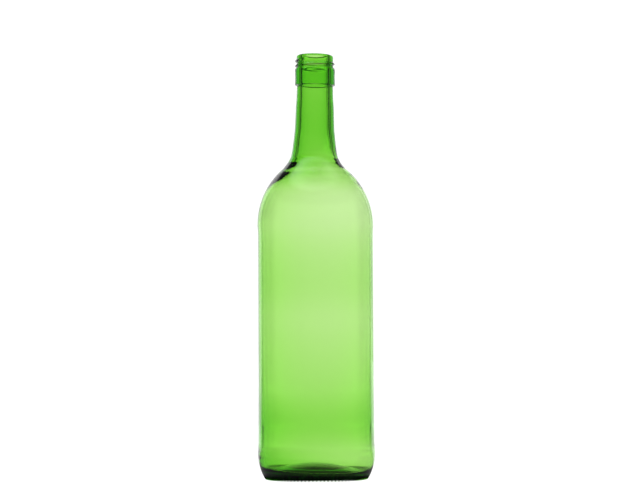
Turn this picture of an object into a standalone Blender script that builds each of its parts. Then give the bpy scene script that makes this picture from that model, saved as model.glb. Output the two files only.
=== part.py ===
"""A one-litre green glass bottle with a long neck and a screw-cap finish, moulded in one piece.

Metres, +Z up. The origin is the centre of the base, on the plane that the bottle stands on.
The bottle is one turned wall, open at the mouth, with its screw thread joined on outside.
"""

from math import cos, pi, radians, sin, tau

import bmesh
import bpy
from mathutils import Vector

MM = 0.001

# Overall shape
HEIGHT = 305.5 * MM
PANEL_RADIUS = 41.45 * MM
PANEL_TOP_Z = 173.5 * MM
PANEL_BOTTOM_Z = 62.0 * MM
SHOULDER_RADIUS = 41.75 * MM
SHOULDER_Z = 182.2 * MM
SHOULDER_ARC = (56.6 * MM, 54.5 * MM)
SHOULDER_END_ANGLE = 46

# The blown wall: thin in the shoulder and the body, thick where the glass settled above the heel
SHOULDER_WALL = 1.25 * MM
WALL_AT_HEIGHT = (
    (38.0 * MM, 2.8 * MM),
    (60.0 * MM, 2.3 * MM),
    (90.0 * MM, 1.85 * MM),
    (116.0 * MM, 1.6 * MM),
    (138.0 * MM, 1.8 * MM),
    (172.0 * MM, 1.5 * MM),
)

# Finish: the mouth, the thread and the collar below it
BORE_RADIUS = 9.55 * MM
FINISH_RADIUS = 13.25 * MM
LIP_ROUND = (1.5 * MM, 1.7 * MM)
MOUTH_ROUND = 0.7 * MM
COLLAR_RADIUS = 14.45 * MM
COLLAR_WAIST = (14.33 * MM, 289.5 * MM)
COLLAR_TOP_Z = 296.0 * MM
COLLAR_ROUND_HEIGHT = 1.9 * MM
COLLAR_BOTTOM_Z = 284.3 * MM

# Thread: a rounded right-hand ridge of about two turns, faded out at both ends
THREAD_PITCH = 3.6 * MM
THREAD_TOP_Z = 301.0 * MM
THREAD_HEIGHT = 1.1 * MM
THREAD_ROUND = 1.2 * MM
THREAD_START = radians(250)
THREAD_SWEEP = radians(650)
THREAD_FADE = radians(45)
THREAD_STEPS = 52

# Base: a rounded heel, a flat bearing ring and a shallow push-up
HEEL_RADIUS = 42.1 * MM
HEEL_Z = 18.5 * MM
HEEL_ROUND = 34.5 * MM
HEEL_END_ANGLE = -31.4
TOE_ROUND = 1.0 * MM
BEARING_INNER_RADIUS = 31.9 * MM
PUSH_UP_HEIGHT = 7.3 * MM
FLOOR_APEX_Z = 11.3 * MM

AROUND = 44


def mm(points):
    """Points given in millimetres, in metres."""
    return [(radius * MM, height * MM) for radius, height in points]


def arc(centre, radii, start, end, steps):
    """Points (radius, height) of an elliptical arc between two angles in degrees."""
    angles = [radians(start + (end - start) * i / steps) for i in range(steps + 1)]
    return [(centre[0] + radii[0] * cos(a), centre[1] + radii[1] * sin(a)) for a in angles]


def smooth(points, steps):
    """A smooth curve through the points, with this many steps between neighbours."""
    curve = [points[0]]
    for i in range(len(points) - 1):
        before, here = Vector(points[max(i - 1, 0)]), Vector(points[i])
        there, after = Vector(points[i + 1]), Vector(points[min(i + 2, len(points) - 1)])
        span = (there - here).length
        leave = (there - before).normalized() * span
        arrive = (after - here).normalized() * span
        for k in range(1, steps + 1):
            t = k / steps
            point = here * (2 * t**3 - 3 * t**2 + 1) + there * (3 * t**2 - 2 * t**3)
            point += leave * (t**3 - 2 * t**2 + t) + arrive * (t**3 - t**2)
            curve.append((point.x, point.y))
    return curve


def shoulder(wall, start, end, steps):
    """An arc of the shoulder, this far inside its outer surface."""
    centre = (SHOULDER_RADIUS - SHOULDER_ARC[0], SHOULDER_Z)
    return arc(centre, [radius - wall for radius in SHOULDER_ARC], start, end, steps)


def inner_wall():
    """The inside of the wall, from the centre of the floor up to the mouth."""
    body = [(PANEL_RADIUS - wall, height) for height, wall in WALL_AT_HEIGHT]
    floor = [(0, FLOOR_APEX_Z)]
    floor += mm([(15, 9.9), (28, 6.3), (33.5, 5.3), (38.4, 10.4), (39.6, 20)])
    inner_shoulder = shoulder(SHOULDER_WALL, 3, 40, 7)
    bore = [inner_shoulder[-1]] + mm([(14.8, 229.0), (12.3, 237.0), (10.4, 251.5), (9.9, 267)])
    bore += [(BORE_RADIUS, COLLAR_BOTTOM_Z)]
    mouth_centre = (BORE_RADIUS + MOUTH_ROUND, HEIGHT - MOUTH_ROUND)
    mouth = arc(mouth_centre, (MOUTH_ROUND, MOUTH_ROUND), 180, 90, 2)
    return smooth(floor, 2) + body + inner_shoulder + smooth(bore, 2)[1:] + mouth


def finish_outside():
    """The outside from the lip down to the foot of the collar."""
    lip_centre = (FINISH_RADIUS - LIP_ROUND[0], HEIGHT - LIP_ROUND[1])
    collar_centre = (FINISH_RADIUS, COLLAR_TOP_Z - COLLAR_ROUND_HEIGHT)
    collar_radii = (COLLAR_RADIUS - FINISH_RADIUS, COLLAR_ROUND_HEIGHT)
    return (
        arc(lip_centre, LIP_ROUND, 90, 0, 3)
        + arc(collar_centre, collar_radii, 90, 0, 3)
        + [COLLAR_WAIST, (COLLAR_RADIUS, COLLAR_BOTTOM_Z)]
    )


def body_outside():
    """The outside from the top of the neck down to the heel."""
    neck = mm([(13.12, 283.3), (13.3, 274.4), (13.95, 262), (14.3, 252), (15.6, 239.9), (17.15, 231.2)])
    outer_shoulder = shoulder(0, SHOULDER_END_ANGLE, 0, 8)
    panel = [(PANEL_RADIUS, PANEL_TOP_Z), (PANEL_RADIUS, PANEL_BOTTOM_Z)]
    lower = mm([(41.6, 48), (41.65, 27)])
    heel_centre = (HEEL_RADIUS - HEEL_ROUND, HEEL_Z)
    heel = arc(heel_centre, (HEEL_ROUND, HEEL_ROUND), 0, HEEL_END_ANGLE, 5)
    return smooth(neck + outer_shoulder[:1], 2) + outer_shoulder[1:] + panel + lower + heel


def base_outside(heel_end):
    """The underside from the heel in to the centre: the toe, the bearing ring and the push-up."""
    toe_angle = radians(HEEL_END_ANGLE)
    toe_centre = (heel_end[0] - TOE_ROUND * cos(toe_angle), TOE_ROUND)
    toe = arc(toe_centre, (TOE_ROUND, TOE_ROUND), HEEL_END_ANGLE, -90, 2)
    push_up = [(BEARING_INNER_RADIUS, 0)] + mm([(30.2, 1.0), (19.6, 5.1)]) + [(0, PUSH_UP_HEIGHT)]
    return toe[1:] + smooth(push_up, 2)


def bottle_profile():
    """The wall's section, up its inside from the axis, over the lip and down its outside."""
    outside = finish_outside() + body_outside()
    return inner_wall() + outside + base_outside(outside[-1])


def turned(name, profile, collection):
    """A profile turned round the Z axis."""
    mesh = bpy.data.meshes.new(name)
    edges = [(i, i + 1) for i in range(len(profile) - 1)]
    mesh.from_pydata([(radius, 0, height) for radius, height in profile], edges, [])
    turned_object = bpy.data.objects.new(name, mesh)
    collection.objects.link(turned_object)
    screw = turned_object.modifiers.new("Turn", "SCREW")
    screw.axis = "Z"
    screw.steps = AROUND
    screw.render_steps = AROUND
    screw.use_merge_vertices = True
    screw.merge_threshold = 0.00002
    screw.use_smooth_shade = True
    return turned_object


def thread_points():
    """The ridge's centre line, with its distance from the axis falling away at both ends."""
    points = []
    for i in range(THREAD_STEPS + 1):
        turned_by = THREAD_SWEEP * i / THREAD_STEPS
        to_end = min(turned_by, THREAD_SWEEP - turned_by)
        sunk = 0.5 + 0.5 * cos(pi * min(to_end / THREAD_FADE, 1))
        radius = FINISH_RADIUS + THREAD_HEIGHT - THREAD_ROUND - 1.5 * THREAD_HEIGHT * sunk
        angle = THREAD_START - turned_by
        height = THREAD_TOP_Z - THREAD_PITCH * turned_by / tau
        points.append((radius * cos(angle), radius * sin(angle), height))
    return points


def thread_ridge(name, collection):
    """The thread as a closed mesh, made from a bevelled helical curve."""
    curve = bpy.data.curves.new(name, "CURVE")
    curve.dimensions = "3D"
    curve.bevel_depth = THREAD_ROUND
    curve.bevel_resolution = 2
    curve.use_fill_caps = True
    points = thread_points()
    spline = curve.splines.new("POLY")
    spline.points.add(len(points) - 1)
    for spline_point, point in zip(spline.points, points):
        spline_point.co = (*point, 1)
    guide = bpy.data.objects.new(name + "_curve", curve)
    collection.objects.link(guide)
    graph = bpy.context.evaluated_depsgraph_get()
    mesh = bpy.data.meshes.new_from_object(guide.evaluated_get(graph))
    bpy.data.objects.remove(guide)
    closed = bmesh.new()
    closed.from_mesh(mesh)
    bmesh.ops.remove_doubles(closed, verts=closed.verts, dist=0.00001)
    bmesh.ops.recalc_face_normals(closed, faces=closed.faces)
    closed.to_mesh(mesh)
    closed.free()
    ridge = bpy.data.objects.new(name, mesh)
    collection.objects.link(ridge)
    ridge.hide_render = True
    ridge.display_type = "WIRE"
    return ridge


def green_glass():
    material = bpy.data.materials.new("green_glass")
    material.use_nodes = True
    shader = material.node_tree.nodes["Principled BSDF"]
    shader.inputs["Base Color"].default_value = (0.36, 0.80, 0.16, 1)
    shader.inputs["Roughness"].default_value = 0.03
    shader.inputs["Metallic"].default_value = 0.0
    shader.inputs["IOR"].default_value = 1.52
    shader.inputs["Transmission Weight"].default_value = 1.0
    return material


def new_collection(name):
    collection = bpy.data.collections.new(name)
    bpy.context.scene.collection.children.link(collection)
    return collection


def main():
    for old in list(bpy.data.objects):
        bpy.data.objects.remove(old)
    parts = new_collection("glass_bottle")
    cutters = new_collection("cutters")
    bottle = turned("bottle", bottle_profile(), parts)
    join = bottle.modifiers.new("Thread", "BOOLEAN")
    join.operation = "UNION"
    join.solver = "EXACT"
    join.object = thread_ridge("thread", cutters)
    bottle.data.materials.append(green_glass())


main()
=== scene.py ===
"""The looks of a green one-litre glass bottle, standing on the white table of a photo studio.

Metres, +Z up. The bottle's own lengths are in millimetres, and become metres in its mesh.
It is one glass wall, turned, with the thread, the gripping teeth of its base and its mould
seams raised from it. Its colour comes only from how deep the light goes through the glass.
"""

from math import atan2, cos, hypot, pi, radians, sin, tau

import bmesh
import bpy
import numpy as np
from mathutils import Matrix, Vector


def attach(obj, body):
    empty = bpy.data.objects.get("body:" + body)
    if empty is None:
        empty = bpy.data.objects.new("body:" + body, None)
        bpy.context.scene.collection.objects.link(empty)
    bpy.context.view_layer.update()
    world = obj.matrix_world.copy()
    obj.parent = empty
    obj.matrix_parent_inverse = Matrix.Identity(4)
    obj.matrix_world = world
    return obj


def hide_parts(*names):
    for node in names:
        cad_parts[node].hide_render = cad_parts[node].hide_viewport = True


MM = 0.001

# Overall shape, in millimetres
HEIGHT = 305.5
PANEL_RADIUS = 41.45
PANEL_TOP_Z = 173.5
PANEL_BOTTOM_Z = 62.0
SHOULDER_RADIUS = 41.76
SHOULDER_Z = 182.2
SHOULDER_ARC = (56.6, 54.5)
SHOULDER_END_ANGLE = 46

# The neck's outside, from the foot of the collar down to the shoulder: (radius, height)
NECK = (
    (13.12, 281.2), (13.3, 274.4), (13.72, 268), (14.0, 259.5), (14.3, 252), (15.05, 244.3),
    (15.58, 239.9), (16.15, 235.5), (17.15, 231.2), (19.5, 226.95), (23.0, 222.6),
)

# The finish: a rounded lip, the threaded part and the collar, down to the step below it
BORE_RADIUS = 9.55
MOUTH_ROUND = 0.7
FINISH_RADIUS = 13.25
LIP_ROUND = (1.5, 1.7)
THREADED_PART_Z = (303.5, 296.2)
THREADED_PART_STEP = 0.2
COLLAR_TOP = ((13.25, 296.0), (13.85, 295.8), (14.33, 295.25), (14.5, 294.5))
COLLAR_SIDE = ((14.5, 294.5), (14.38, 289.6), (14.4, 287.0), (14.48, 284.2))
COLLAR_FOOT = ((14.43, 283.75), (14.15, 283.45), (13.4, 283.25), (13.12, 283.0), (13.08, 282.6))

# The thread: a rounded right-hand ridge of nearly two turns, faded out at both ends
THREAD_TOP_Z = 301.8
THREAD_PITCH = 3.6
THREAD_HEIGHT = 1.1
THREAD_HALF_WIDTH = 1.25
THREAD_START = radians(250)
THREAD_SWEEP = radians(650)
THREAD_FADE = radians(45)

# Where the rings of the straight panel start below its top, and how far apart they are
PANEL_RINGS_TOP_Z = 166
PANEL_RING_STEP = 8

# The base: the foot of the panel, a rounded heel, a flat bearing ring and a shallow push-up
PANEL_FOOT = (
    (PANEL_RADIUS, PANEL_BOTTOM_Z), (41.55, 55), (41.6, 47), (41.6, 33),
    (41.68, 26.5), (41.88, 23), (42.07, 20), (42.1, 18.5),
)
HEEL_RADIUS = 42.1
HEEL_Z = 18.5
HEEL_ROUND = 34.5
HEEL_END_ANGLE = -31.4
TOE_ROUND = 1.0
BEARING_RADII = (36.2, 35.8, 35.4)
PUSH_UP = (
    (35.0, 1.1), (33.5, 1.4), (31.5, 1.8), (29.8, 2.3), (25.5, 3.6), (19.6, 5.2), (9.8, 6.8), (0, 7.3),
)
# Its teeth, cut into the underside below this height, in a band of (radius, share of the depth)
TEETH = 84
TEETH_DEPTH = 1.6
TEETH_BELOW_Z = 3.0
TEETH_BAND = ((35.0, 0), (35.3, 1), (37.0, 1), (37.8, 0))

# The blown wall: (height, thickness), thin at the shoulder and thick above the heel
WALL = (
    (22, 2.3), (29.4, 2.7), (38.3, 3.01), (47.1, 2.8), (55, 2.52), (63.8, 2.24), (81.5, 1.98),
    (98.1, 1.78), (115.8, 1.62), (137.4, 1.82), (155, 1.72), (171.7, 1.5), (180.6, 1.35),
    (194, 1.27), (206, 1.27), (210, 1.38), (213.5, 1.6), (216, 1.82), (219, 2.08), (222, 2.35),
)
WALL_BOTTOM_Z, WALL_TOP_Z = 23.5, 221.0
WALL_LEAST_RADIUS = 24.0

# The inside below that wall and above it, from the axis up to the mouth: (radius, height)
FLOOR = (
    (0, 11.3), (8, 10.9), (15, 9.9), (22, 8.2), (28, 6.3), (33, 5.1),
    (36.4, 6.6), (38.4, 10.4), (39.5, 15.8), (39.65, 20.5),
)
BORE = (
    (17.26, 225.4), (15.56, 227.6), (14.15, 230.0), (12.75, 234.9), (11.95, 239.0), (11.25, 244.0),
    (10.35, 251.5), (10.1, 258.5), (9.95, 267.0), (9.7, 271.6), (9.55, 281.0), (9.55, 290.0),
)

# Where the inside lies off the outside's axis, and the neck off the body's: (height, +X)
INSIDE_OFFSET = (
    (5, 0.25), (15, 0.75), (24, 0.45), (33, 0.3), (60, 0.15), (90, 0.2), (180, 0.25), (212, 0.35),
    (218, 0.85), (225, 1.0), (231, 0.65), (238, 0.25), (246, 0),
)
NECK_OFFSET = ((177, 0), (204, -0.35), (227, -0.6), (253, -0.25), (262, -0.08), (288, 0.15))

# How far each millimetre of radius lowers the inner floor and the neck on their +X side, by height
FLOOR_TILT = ((0, 0.03), (12, 0.03), (22, 0))
LEAN = ((215, 0), (245, 0.02), (306, 0.02))

# Seams of the mould's two halves, faded out at both ends: (height, share)
SEAM_ANGLES = (radians(6), radians(186))
SEAM_HEIGHT = 0.1
SEAM_HALF_WIDTH = radians(1.1)
SEAM_SPAN = ((30, 0), (36, 1), (278, 1), (284, 0))

# Mesh
AROUND = 336
SMALLEST_STEP = 0.02

# Glass: what it takes out of red, green and blue light in each millimetre
ABSORBED = (0.242, 0.071, 0.445)
ABSORPTION_DENSITY = 500.0
GLASS_IOR = 1.52

# Its surface: a ripple from the mould, faint smudges, and scuffs in bands of (height, half width)
RIPPLE_HEIGHT = 0.02
RIPPLE_SCALE, RIPPLE_STRETCH = 90, (1, 1, 0.25)
SMUDGE_ROUGHNESS = 0.02
SMUDGE_SCALE, SMUDGE_STRETCH = 60, (1, 1, 0.6)
SCUFF_ROUGHNESS = 0.12
SCUFF_SCALE, SCUFF_STRETCH = 900, (1, 1, 9)
RUBBED_BANDS = ((182.0, 7.0), (18.5, 8.0))

# Studio: strengths of its white, its side lights and its black flags, and lengths in metres
WHITE = 1.11
SIDE_LIGHT = 0.26
STUDIO_DARK = 0.06
TABLE_HALF_WIDTH = 6.0
TABLE_DROP = 0.0002
# The table's painted shade under the bottle, from full to none, as seen through the glass and mirrored
# in it
SHADE_THROUGH_GLASS, SHADE_THROUGH_GLASS_LEVEL = (0.037, 0.055), 0.03
SHADE_MIRRORED, SHADE_MIRRORED_LEVEL = (0.037, 0.046), 0.01
# How far away the table starts to show the backdrop's flags and lights painted on it, and shows them in
# full
TABLE_PATTERN = (0.3, 1.2)

# Camera, in metres: it stands in front of the bottle and is turned up towards the aim (x, z)
# The light and shade painted on the table in the same directions, through the glass and in reflections
CAMERA_DISTANCE = 1.45
CAMERA_HEIGHT = 0.102
CAMERA_ROLL = radians(0.27)
VIEW_WIDTH = 0.4542
AIM = (-0.0007, 0.1643)


def arc(centre, radii, start, end, steps):
    """Points (radius, height) of an elliptical arc between two angles in degrees."""
    angles = [radians(start + (end - start) * i / steps) for i in range(steps + 1)]
    return [(centre[0] + radii[0] * cos(a), centre[1] + radii[1] * sin(a)) for a in angles]


def smooth(points, steps):
    """A smooth curve through the points, with this many steps between neighbours."""
    curve = [points[0]]
    for i in range(len(points) - 1):
        before, here = Vector(points[max(i - 1, 0)]), Vector(points[i])
        there, after = Vector(points[i + 1]), Vector(points[min(i + 2, len(points) - 1)])
        span = (there - here).length
        leave = (there - before).normalized() * span
        arrive = (after - here).normalized() * span
        for k in range(1, steps + 1):
            t = k / steps
            point = here * (2 * t**3 - 3 * t**2 + 1) + there * (3 * t**2 - 2 * t**3)
            point += leave * (t**3 - 2 * t**2 + t) + arrive * (t**3 - t**2)
            curve.append((point.x, point.y))
    return curve


def table(points, at):
    """The values of a table of (place, value) pairs at these places."""
    places, values = zip(*points)
    return np.interp(at, places, values)


def finish_outside():
    """The lip, the threaded part without its thread, and the collar."""
    lip = arc((FINISH_RADIUS - LIP_ROUND[0], HEIGHT - LIP_ROUND[1]), LIP_ROUND, 90, 0, 10)
    threaded = [(FINISH_RADIUS, height) for height in np.arange(*THREADED_PART_Z, -THREADED_PART_STEP)]
    collar = smooth(COLLAR_TOP, 4) + smooth(COLLAR_SIDE, 6) + smooth(COLLAR_FOOT, 4)
    return lip + threaded + collar


def body_outside():
    """The neck, the shoulder and the panel, down to the widest place of the heel."""
    shoulder_centre = (SHOULDER_RADIUS - SHOULDER_ARC[0], SHOULDER_Z)
    shoulder = arc(shoulder_centre, SHOULDER_ARC, SHOULDER_END_ANGLE, 0, 30)
    band = [shoulder[-1], (41.72, 180), (41.5, 177), (PANEL_RADIUS, PANEL_TOP_Z)]
    panel_heights = np.arange(PANEL_RINGS_TOP_Z, PANEL_BOTTOM_Z, -PANEL_RING_STEP)
    panel = [(PANEL_RADIUS, height) for height in panel_heights]
    return smooth(NECK, 6) + shoulder[1:] + smooth(band, 4) + panel + smooth(PANEL_FOOT, 5)


def base_outside():
    """The heel, the toe, the bearing ring and the push-up, in to the axis."""
    heel_centre = (HEEL_RADIUS - HEEL_ROUND, HEEL_Z)
    heel = arc(heel_centre, (HEEL_ROUND, HEEL_ROUND), 0, HEEL_END_ANGLE, 16)
    toe_centre = (heel[-1][0] - TOE_ROUND * cos(radians(HEEL_END_ANGLE)), TOE_ROUND)
    toe = arc(toe_centre, (TOE_ROUND, TOE_ROUND), HEEL_END_ANGLE, -90, 6)
    ring = [(radius, 0) for radius in BEARING_RADII]
    return heel + toe + ring + smooth(PUSH_UP, 6)


def wall_inside(outside):
    """The inside of the blown wall, from above the heel up to the shoulder."""
    blown = [point for point in outside if WALL_BOTTOM_Z < point[1] < WALL_TOP_Z]
    wall = np.array([point for point in blown if point[0] > WALL_LEAST_RADIUS][::-1])
    along = np.gradient(wall, axis=0)
    inwards = np.stack([-along[:, 1], along[:, 0]], axis=1)
    inwards /= np.linalg.norm(inwards, axis=1)[:, None]
    return [tuple(point) for point in wall + inwards * table(smooth(WALL, 4), wall[:, 1])[:, None]]


def inside(outside):
    """The inside, from the centre of the floor up to the mouth."""
    wall = wall_inside(outside)
    mouth_centre = (BORE_RADIUS + MOUTH_ROUND, HEIGHT - MOUTH_ROUND)
    mouth = arc(mouth_centre, (MOUTH_ROUND, MOUTH_ROUND), 180, 90, 6)
    return smooth(FLOOR, 6) + wall + smooth([wall[-1], *BORE, mouth[0]], 6) + mouth


def spaced(points):
    """The points without those that lie on top of the one before."""
    kept = [points[0]]
    for point in points[1:]:
        if (Vector(point) - Vector(kept[-1])).length > SMALLEST_STEP:
            kept.append(point)
    return kept


def thread_height(angle, height):
    """How far the thread stands out at these angles and heights."""
    raised = np.zeros(np.broadcast(angle, height).shape)
    for turn in range(3):
        along = THREAD_START - angle + tau * turn
        to_end = np.minimum(along, THREAD_SWEEP - along)
        grown = 0.5 - 0.5 * np.cos(pi * np.clip(to_end / THREAD_FADE, 0, 1))
        centre = THREAD_TOP_Z - THREAD_PITCH * along / tau
        across = np.clip(np.abs(height - centre) / THREAD_HALF_WIDTH, 0, 1)
        raised = np.maximum(raised, THREAD_HEIGHT * grown * (1 - across**2) ** 1.5)
    return raised


def seam_height(angle, height):
    """How far the seams stand out at these angles and heights."""
    raised = 0
    for seam in SEAM_ANGLES:
        away = np.abs((angle - seam + pi) % tau - pi) / SEAM_HALF_WIDTH
        raised = raised + np.clip(1 - away, 0, 1)
    return SEAM_HEIGHT * raised * table(SEAM_SPAN, height)


def ring_points(section, is_outside):
    """The turned section as rings of points, with all that is raised from it."""
    angle = np.arange(AROUND) / AROUND * tau
    radius = section[:, :1] + np.zeros(AROUND)
    height = section[:, 1:] + np.zeros(AROUND)
    outer = is_outside[:, None]
    ridge = np.where(outer, thread_height(angle, height), 0)
    radius = np.where(ridge > 0, np.maximum(radius, FINISH_RADIUS + ridge), radius)
    radius = radius + np.where(outer, seam_height(angle, height), 0)
    gap = 0.5 - 0.5 * np.cos(TEETH * angle)
    low = outer & (height < TEETH_BELOW_Z)
    height = height + np.where(low, TEETH_DEPTH * gap * table(TEETH_BAND, radius), 0)
    height = height - table(LEAN, height) * radius * (1 + np.cos(angle))
    height = height - np.where(outer, 0, table(FLOOR_TILT, height)) * radius * np.cos(angle)
    offset = np.where(outer, 0, table(INSIDE_OFFSET, height)) + table(NECK_OFFSET, height)
    return np.stack([radius * np.cos(angle) + offset, radius * np.sin(angle), height], axis=2)


def bottle_mesh():
    """The whole glass wall as one closed mesh, from the floor's centre to the push-up's."""
    outer = spaced(finish_outside() + body_outside() + base_outside())
    inner = spaced(inside(outer))
    section = np.array(inner[1:] + outer[:-1])
    is_outside = np.arange(len(section)) >= len(inner) - 1
    points = ring_points(section, is_outside).reshape(-1, 3)
    centres = [[0, 0, inner[0][1]], [0, 0, outer[-1][1]]]
    floor_centre, push_up_centre = len(points), len(points) + 1
    last_ring = len(points) - AROUND
    faces = []
    for k in range(AROUND):
        after = (k + 1) % AROUND
        faces.append((floor_centre, after, k))
        faces.append((push_up_centre, last_ring + k, last_ring + after))
        for ring in range(0, last_ring, AROUND):
            faces.append((ring + k, ring + after, ring + AROUND + after, ring + AROUND + k))
    mesh = bpy.data.meshes.new("glass_bottle")
    mesh.from_pydata([tuple(point) for point in np.vstack([points, centres]) * MM], [], faces)
    turned_out = bmesh.new()
    turned_out.from_mesh(mesh)
    bmesh.ops.recalc_face_normals(turned_out, faces=turned_out.faces)
    turned_out.to_mesh(mesh)
    turned_out.free()
    mesh.shade_smooth()
    return mesh


def noise(tree, place, stretch, scale, detail):
    """Even noise from 0 to 1, with the place stretched by this much along each axis."""
    stretched = tree.nodes.new("ShaderNodeVectorMath")
    stretched.operation = "MULTIPLY"
    feed(tree, stretched.inputs[0], place)
    stretched.inputs[1].default_value = stretch
    node = tree.nodes.new("ShaderNodeTexNoise")
    node.inputs["Scale"].default_value = scale
    node.inputs["Detail"].default_value = detail
    feed(tree, node.inputs["Vector"], stretched.outputs["Vector"])
    return node.outputs["Fac"]


def rubbed(tree, place):
    """Where bottles rub against each other: 1 at the shoulder's and the heel's widest places."""
    parts = tree.nodes.new("ShaderNodeSeparateXYZ")
    feed(tree, parts.inputs[0], place)
    bands = 0.0
    for centre, half_width in RUBBED_BANDS:
        away = calculate(tree, "SUBTRACT", parts.outputs["Z"], centre * MM)
        away = calculate(tree, "ABSOLUTE", away, 0.0)
        band = rescale(tree, away, 0.0, half_width * MM, 1, 0, "SMOOTHSTEP")
        bands = calculate(tree, "MAXIMUM", band, bands)
    return bands


def glass_material():
    """Clear glass, with its green in the volume and its handling marks on the surface."""
    material = bpy.data.materials.new("green_glass")
    material.use_nodes = True
    tree = material.node_tree
    shader = tree.nodes["Principled BSDF"]
    shader.inputs["Base Color"].default_value = (1, 1, 1, 1)
    place = tree.nodes.new("ShaderNodeTexCoord").outputs["Object"]
    scratches = noise(tree, place, SCUFF_STRETCH, SCUFF_SCALE, 3)
    scratches = rescale(tree, scratches, 0.56, 0.7, 0, SCUFF_ROUGHNESS)
    scratches = calculate(tree, "MULTIPLY", scratches, rubbed(tree, place))
    smudges = noise(tree, place, SMUDGE_STRETCH, SMUDGE_SCALE, 4)
    smudges = rescale(tree, smudges, 0.5, 0.8, 0, SMUDGE_ROUGHNESS)
    feed(tree, shader.inputs["Roughness"], calculate(tree, "ADD", scratches, smudges))
    ripple = tree.nodes.new("ShaderNodeBump")
    ripple.inputs["Strength"].default_value = 1.0
    ripple.inputs["Distance"].default_value = RIPPLE_HEIGHT * MM
    feed(tree, ripple.inputs["Height"], noise(tree, place, RIPPLE_STRETCH, RIPPLE_SCALE, 1))
    feed(tree, shader.inputs["Normal"], ripple.outputs["Normal"])
    shader.inputs["IOR"].default_value = GLASS_IOR
    shader.inputs["Transmission Weight"].default_value = 1.0
    volume = tree.nodes.new("ShaderNodeVolumeAbsorption")
    volume.inputs["Density"].default_value = ABSORPTION_DENSITY
    left = [1 - absorbed / MM / ABSORPTION_DENSITY for absorbed in ABSORBED]
    volume.inputs["Color"].default_value = (*left, 1)
    tree.links.new(volume.outputs["Volume"], tree.nodes["Material Output"].inputs["Volume"])
    return material


def feed(tree, socket, value):
    """Gives a socket a number, or links it to another node's output."""
    if isinstance(value, (int, float)):
        socket.default_value = value
    else:
        tree.links.new(value, socket)


def calculate(tree, operation, first, second):
    """One step of arithmetic."""
    node = tree.nodes.new("ShaderNodeMath")
    node.operation = operation
    feed(tree, node.inputs[0], first)
    feed(tree, node.inputs[1], second)
    return node.outputs["Value"]


def rescale(tree, value, low, high, to_low=0.0, to_high=1.0, curve="LINEAR"):
    """A value between two limits, moved to lie between two others."""
    node = tree.nodes.new("ShaderNodeMapRange")
    node.interpolation_type = curve
    feed(tree, node.inputs["Value"], value)
    limits = {"From Min": low, "From Max": high, "To Min": to_low, "To Max": to_high}
    for name, limit in limits.items():
        feed(tree, node.inputs[name], limit)
    return node.outputs["Result"]


def ramp(tree, place, stops):
    """A grey level from stops of (place from 0 to 1, level)."""
    node = tree.nodes.new("ShaderNodeValToRGB")
    feed(tree, node.inputs["Fac"], place)
    elements = node.color_ramp.elements
    elements.remove(elements[1])
    elements[0].position = stops[0][0]
    elements[0].color = (*[stops[0][1]] * 3, 1)
    for position, level in stops[1:]:
        elements.new(position).color = (level, level, level, 1)
    return node.outputs["Color"]


def by_azimuth(tree, direction, stops):
    """A grey level by direction, in degrees clockwise from +Y as seen from above."""
    parts = tree.nodes.new("ShaderNodeSeparateXYZ")
    feed(tree, parts.inputs[0], direction)
    turned = calculate(tree, "ARCTAN2", parts.outputs["X"], parts.outputs["Y"])
    return ramp(tree, rescale(tree, turned, -pi, pi), [(d / 360 + 0.5, v) for d, v in stops])


def by_elevation(tree, direction, stops):
    """A grey level by degrees above the horizon."""
    parts = tree.nodes.new("ShaderNodeSeparateXYZ")
    feed(tree, parts.inputs[0], direction)
    place = rescale(tree, parts.outputs["Z"], -1, 1)
    return ramp(tree, place, [((sin(radians(d)) + 1) / 2, v) for d, v in stops])


def mix(tree, factor, first, second):
    """The first value where the factor is 0, and the second where it is 1."""
    node = tree.nodes.new("ShaderNodeMix")
    feed(tree, node.inputs["Factor"], factor)
    feed(tree, node.inputs["A"], first)
    feed(tree, node.inputs["B"], second)
    return node.outputs["Result"]


def by_ray(tree, seen, through_glass, mirrored):
    """One strength for what the camera sees, one for light through the glass, one for the rest."""
    path = tree.nodes.new("ShaderNodeLightPath")
    unseen = mix(tree, path.outputs["Is Transmission Ray"], mirrored, through_glass)
    return mix(tree, path.outputs["Is Camera Ray"], unseen, seen)


# Light by azimuth, in degrees clockwise from +Y as seen from above: (azimuth, level)
D = STUDIO_DARK
# Through the glass: the white backdrop with a narrow grey bar, black flags beside it, a pale room
THROUGH_GLASS = (
    (-180, 0.75), (-85, 0.75), (-78, D), (-57, D), (-54, 0.55), (-46, 0.55), (-43, 2 * D), (-39, 2 * D),
    (-35, 1), (21, 1), (23, 0.3), (26.5, 0.3), (28, 1), (33, 1),
    (36, 2 * D), (43, 2 * D), (46, 0.55), (54, 0.55), (57, D), (78, D), (85, 0.75), (180, 0.75),
)
# Reflections: the same backdrop in a darker room
MIRRORED = (
    (-180, 0.1), (-100, 0.15), (-76, 0.15), (-45, 0.3), (-36, 1), (21.5, 1), (23, 0.35), (26.5, 0.35),
    (28, 1), (34, 1), (36, 0.4), (76, 0.2), (100, 0.15), (180, 0.1),
)
# What the table gives in the same directions, through the glass and in reflections
TABLE_THROUGH_GLASS = (
    (-180, 0.75), (-85, 0.75), (-78, D), (-57, D), (-54, 0.55), (-46, 0.55), (-43, 2 * D), (-39, 2 * D),
    (-35, 1), (33, 1),
    (36, 2 * D), (43, 2 * D), (46, 0.55), (54, 0.55), (57, D), (78, D), (85, 0.75), (180, 0.75),
)
TABLE_MIRRORED = (
    (-180, 0.1), (-100, 0.15), (-45, 0.2), (-36, 1), (36, 1), (45, 0.2), (100, 0.15), (180, 0.1),
)
# The share of that light by elevation: dark over the top of the backdrop, then a pale ceiling
ABOVE = ((-90, 1), (28, 1), (34, 0.12), (55, 0.12), (65, 0.8), (90, 0.8))
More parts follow.
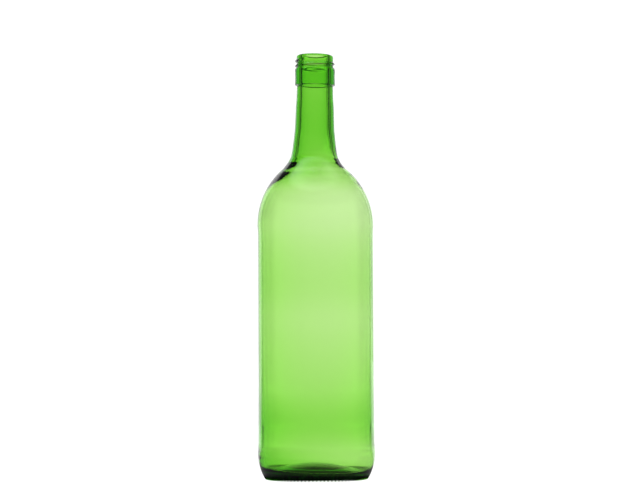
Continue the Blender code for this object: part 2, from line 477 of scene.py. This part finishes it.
# Two faint lights on the backdrop, right and left of the bottle: by azimuth, and by elevation
SIDE_LIGHTS = (
    (-180, 0), (-34, 0), (-28, 1), (-10, 1), (-1, 0), (1, 0), (8, 1), (21, 1), (34, 0), (180, 0),
)
SIDE_LIGHTS_UP = (
    (-90, 1), (3, 1), (4.5, 0), (8.5, 0), (10, 0.7), (18, 0.7), (28, 0), (90, 0),
)
# A soft light over the bottle, which its shoulder mirrors: by elevation, and by azimuth
OVERHEAD = ((-90, 0), (50, 0), (58, 1), (67, 1), (77, 0.5), (90, 0.25))
OVERHEAD_SIDES = ((-180, 0.7), (-130, 1), (-60, 1), (0, 0.5), (60, 0.3), (130, 0.4), (180, 0.7))
OVERHEAD_STRENGTH = 1.5


def side_lights(tree, direction):
    """How much the two side lights add in a direction, before their elevation counts."""
    return calculate(tree, "MULTIPLY", by_azimuth(tree, direction, SIDE_LIGHTS), SIDE_LIGHT)


def studio_world():
    """White all round to the eye, with the backdrop, flags and lights that only the glass shows."""
    world = bpy.data.worlds.new("studio")
    bpy.context.scene.world = world
    world.use_nodes = True
    tree = world.node_tree
    direction = tree.nodes.new("ShaderNodeTexCoord").outputs["Generated"]
    above = by_elevation(tree, direction, ABOVE)
    through = calculate(tree, "MULTIPLY", by_azimuth(tree, direction, THROUGH_GLASS), above)
    through = calculate(tree, "MULTIPLY", through, WHITE)
    up = by_elevation(tree, direction, SIDE_LIGHTS_UP)
    lights = calculate(tree, "MULTIPLY", side_lights(tree, direction), up)
    through = calculate(tree, "ADD", through, lights)
    mirrored = calculate(tree, "MULTIPLY", by_azimuth(tree, direction, MIRRORED), above)
    overhead = calculate(tree, "MULTIPLY", by_elevation(tree, direction, OVERHEAD), OVERHEAD_STRENGTH)
    overhead = calculate(tree, "MULTIPLY", overhead, by_azimuth(tree, direction, OVERHEAD_SIDES))
    mirrored = calculate(tree, "ADD", mirrored, overhead)
    background = tree.nodes["Background"]
    background.inputs["Color"].default_value = (1, 1, 1, 1)
    feed(tree, background.inputs["Strength"], by_ray(tree, WHITE, through, mirrored))


def table_material():
    """A white table that glows, with the room's light painted on it and a painted shade where the
    bottle stands.
    """
    material = bpy.data.materials.new("white_table")
    material.use_nodes = True
    tree = material.node_tree
    place = tree.nodes.new("ShaderNodeTexCoord").outputs["Object"]
    length = tree.nodes.new("ShaderNodeVectorMath")
    length.operation = "LENGTH"
    feed(tree, length.inputs[0], place)
    away = length.outputs["Value"]
    far = rescale(tree, away, *TABLE_PATTERN, 0, 1, "SMOOTHSTEP")
    # Painted shade: the glowing table is dimmed under the bottle, as seen through the glass
    lit = rescale(tree, away, *SHADE_THROUGH_GLASS, SHADE_THROUGH_GLASS_LEVEL, WHITE, "SMOOTHSTEP")
    # Painted light and shade: far off, the backdrop's flags and side lights are painted on the glowing
    # table
    flags = mix(tree, far, 1.0, by_azimuth(tree, place, TABLE_THROUGH_GLASS))
    through = calculate(tree, "MULTIPLY", flags, lit)
    lights = calculate(tree, "MULTIPLY", side_lights(tree, place), far)
    through = calculate(tree, "ADD", through, lights)
    # Painted shade under the bottle again, as mirrored in the glass
    lit = rescale(tree, away, *SHADE_MIRRORED, SHADE_MIRRORED_LEVEL, WHITE, "SMOOTHSTEP")
    mirrored = calculate(tree, "MULTIPLY", by_azimuth(tree, place, TABLE_MIRRORED), lit)
    glow = tree.nodes.new("ShaderNodeEmission")
    glow.inputs["Color"].default_value = (1, 1, 1, 1)
    feed(tree, glow.inputs["Strength"], by_ray(tree, WHITE, through, mirrored))
    tree.nodes.remove(tree.nodes["Principled BSDF"])
    tree.links.new(glow.outputs["Emission"], tree.nodes["Material Output"].inputs["Surface"])
    return material


def white_table():
    """The table top, a little under the bottle so that their faces don't coincide."""
    mesh = bpy.data.meshes.new("white_table")
    edge = TABLE_HALF_WIDTH
    points = [(-edge, -edge, 0), (edge, -edge, 0), (edge, edge, 0), (-edge, edge, 0)]
    mesh.from_pydata(points, [], [(0, 1, 2, 3)])
    table_top = bpy.data.objects.new("white_table", mesh)
    table_top.location.z = -TABLE_DROP
    bpy.context.scene.collection.objects.link(table_top)
    mesh.materials.append(table_material())


def studio_camera():
    """The camera, with a lens that shows a given width at the bottle's distance."""
    data = bpy.data.cameras.new("camera")
    rise = AIM[1] - CAMERA_HEIGHT
    data.lens = data.sensor_width * hypot(CAMERA_DISTANCE, rise) / VIEW_WIDTH
    data.clip_end = 100
    camera = bpy.data.objects.new("camera", data)
    camera.location = (AIM[0], -CAMERA_DISTANCE, CAMERA_HEIGHT)
    camera.rotation_euler = (pi / 2 + atan2(rise, CAMERA_DISTANCE), CAMERA_ROLL, 0)
    bpy.context.scene.collection.objects.link(camera)
    bpy.context.scene.camera = camera


def light_paths():
    """Enough bounces for light that stays long inside the glass, and plain colours."""
    scene = bpy.context.scene
    scene.view_settings.view_transform = "Standard"
    scene.cycles.max_bounces = 32
    scene.cycles.transmission_bounces = 24
    scene.cycles.glossy_bounces = 16
    scene.cycles.transparent_max_bounces = 16
    scene.cycles.sample_clamp_indirect = 0


def glass_bottle():
    """The bottle that is seen, in place of the plainer CAD solid."""
    bottle = bpy.data.objects.new("glass_bottle", bottle_mesh())
    bpy.context.scene.collection.objects.link(bottle)
    bottle.data.materials.append(glass_material())
    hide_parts("bottle")
    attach(bottle, "root")


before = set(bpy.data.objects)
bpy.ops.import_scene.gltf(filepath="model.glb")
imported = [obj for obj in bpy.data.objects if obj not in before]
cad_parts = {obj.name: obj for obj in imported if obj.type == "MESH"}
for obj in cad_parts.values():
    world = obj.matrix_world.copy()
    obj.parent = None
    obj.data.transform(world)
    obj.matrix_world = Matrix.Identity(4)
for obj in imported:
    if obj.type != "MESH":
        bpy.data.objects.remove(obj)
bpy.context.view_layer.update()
glass_bottle()
white_table()
studio_world()
studio_camera()
light_paths()
